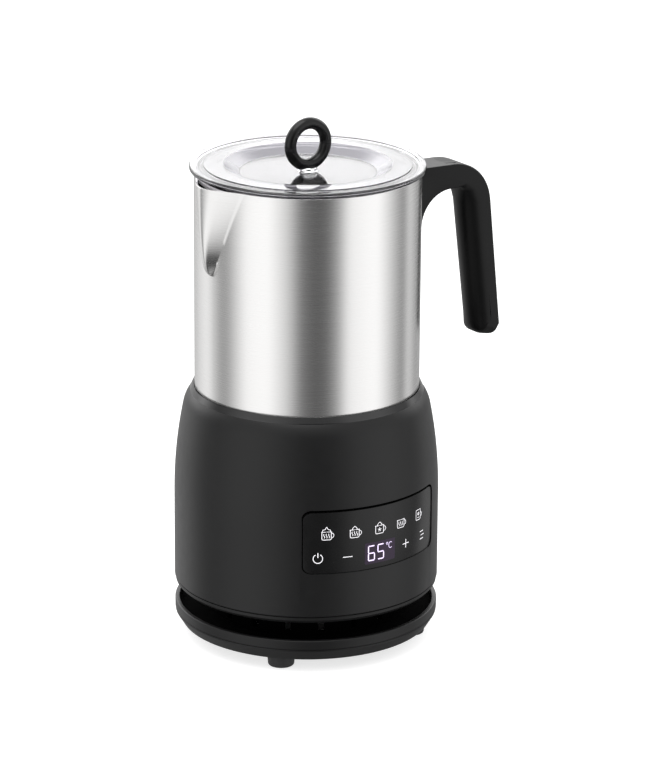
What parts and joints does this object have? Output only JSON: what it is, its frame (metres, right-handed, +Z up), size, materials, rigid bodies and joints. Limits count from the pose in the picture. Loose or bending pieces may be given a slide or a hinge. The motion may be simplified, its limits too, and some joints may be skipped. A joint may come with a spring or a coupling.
{
  "type": "milk frother",
  "caption": "Automatic milk frother: lidded steel jug with a spout and an open D handle, standing in the heated well of a round black base with a touch panel.",
  "frame": {"origin": "on the jug's axis, on the plane that the four rubber feet stand on", "axes": "+Z up, -Y towards the control panel's front, +X towards the handle, -X towards the spout"},
  "size_m": [0.1774, 0.1328, 0.2616],
  "materials": {
    "body_black": "satin black, finely textured",
    "base_plastic": "moulded black",
    "gloss_black": "gloss black",
    "panel_black": "semi-gloss black touch panel",
    "handle_black": "satin black",
    "rubber_black": "soft black",
    "seal_rubber": "grey silicone",
    "jug_steel": "horizontally brushed stainless steel",
    "platform_steel": "stainless steel",
    "zinc_steel": "zinc plated",
    "chrome_trim": "polished",
    "clear_plastic": "clear moulded plastic",
    "copper_wire": "enamelled copper",
    "ferrite": "sintered ferrite",
    "magnet_nickel": "nickel plated",
    "circuit_board": "green solder mask",
    "sink_aluminium": "extruded"
  },
  "bodies": {
    "base": {"rubber_feet": "rubber_black", "foot_screws": "zinc_steel", "base_pan": "base_plastic", "base_ring": "base_plastic", "cord_gland": "rubber_black", "vent_neck": "base_plastic", "chassis_plate": "base_plastic", "chassis_screws": "zinc_steel", "body_shell": "body_black", "well_liner": "gloss_black", "heating_platform": "platform_steel", "sensor_spring": "zinc_steel", "induction_coil": "copper_wire", "coil_carrier": "base_plastic", "carrier_screws": "zinc_steel", "ferrite_bars": "ferrite", "motor_bracket": "zinc_steel", "motor_can": "zinc_steel", "motor_screws": "zinc_steel", "fan_frame": "base_plastic", "fan_screws": "zinc_steel", "power_board": "circuit_board", "board_posts": "base_plastic", "power_capacitors": "gloss_black", "heat_sink": "sink_aluminium", "panel_cover": "panel_black", "touch_board": "circuit_board", "display_module": "gloss_black"},
    "motor_rotor": {"motor_shaft": "zinc_steel", "rotor_hub": "base_plastic", "rotor_magnets": "magnet_nickel"},
    "fan_rotor": {"fan_impeller": "base_plastic"},
    "sensor": {"sensor_cap": "platform_steel"},
    "jug": {"jug_shell": "jug_steel", "jug_base_disc": "platform_steel", "whisk_spindle": "platform_steel", "handle_bracket": "jug_steel", "handle_grip": "handle_black", "handle_screws": "zinc_steel", "handle_cap": "handle_black"},
    "whisk": {"whisk_hub": "base_plastic", "whisk_magnets": "magnet_nickel", "whisk_spring": "platform_steel"},
    "lid": {"lid_disc": "clear_plastic", "lid_seal": "seal_rubber", "knob_ring": "rubber_black", "knob_collar": "chrome_trim", "knob_washer": "zinc_steel", "knob_screw": "zinc_steel"}
  },
  "joints": [
    {"name": "jug_lift", "type": "slide", "parent": "base", "child": "jug", "axis": [0, 0, 1], "range_m": [0, 0.07]},
    {"name": "lid_lift", "type": "slide", "parent": "jug", "child": "lid", "axis": [0, 0, 1], "range_m": [0, 0.06]},
    {"name": "motor_spin", "type": "hinge", "parent": "base", "child": "motor_rotor", "pos_m": [0, 0, 0.1], "axis": [0, 0, 1], "continuous": true},
    {"name": "whisk_spin", "type": "hinge", "parent": "jug", "child": "whisk", "pos_m": [0, 0, 0.122], "axis": [0, 0, 1], "continuous": true},
    {"name": "fan_spin", "type": "hinge", "parent": "base", "child": "fan_rotor", "pos_m": [0, 0, 0.034], "axis": [0, 0, 1], "continuous": true},
    {"name": "sensor_press", "type": "slide", "parent": "base", "child": "sensor", "axis": [0, 0, -1], "range_m": [0, 0.001], "stiffness_N_per_m": 300, "deforming": ["sensor_spring"]}
  ],
  "couplings": [
    {"joint": "motor_spin", "follows": "whisk_spin", "ratio": 1}
  ]
}
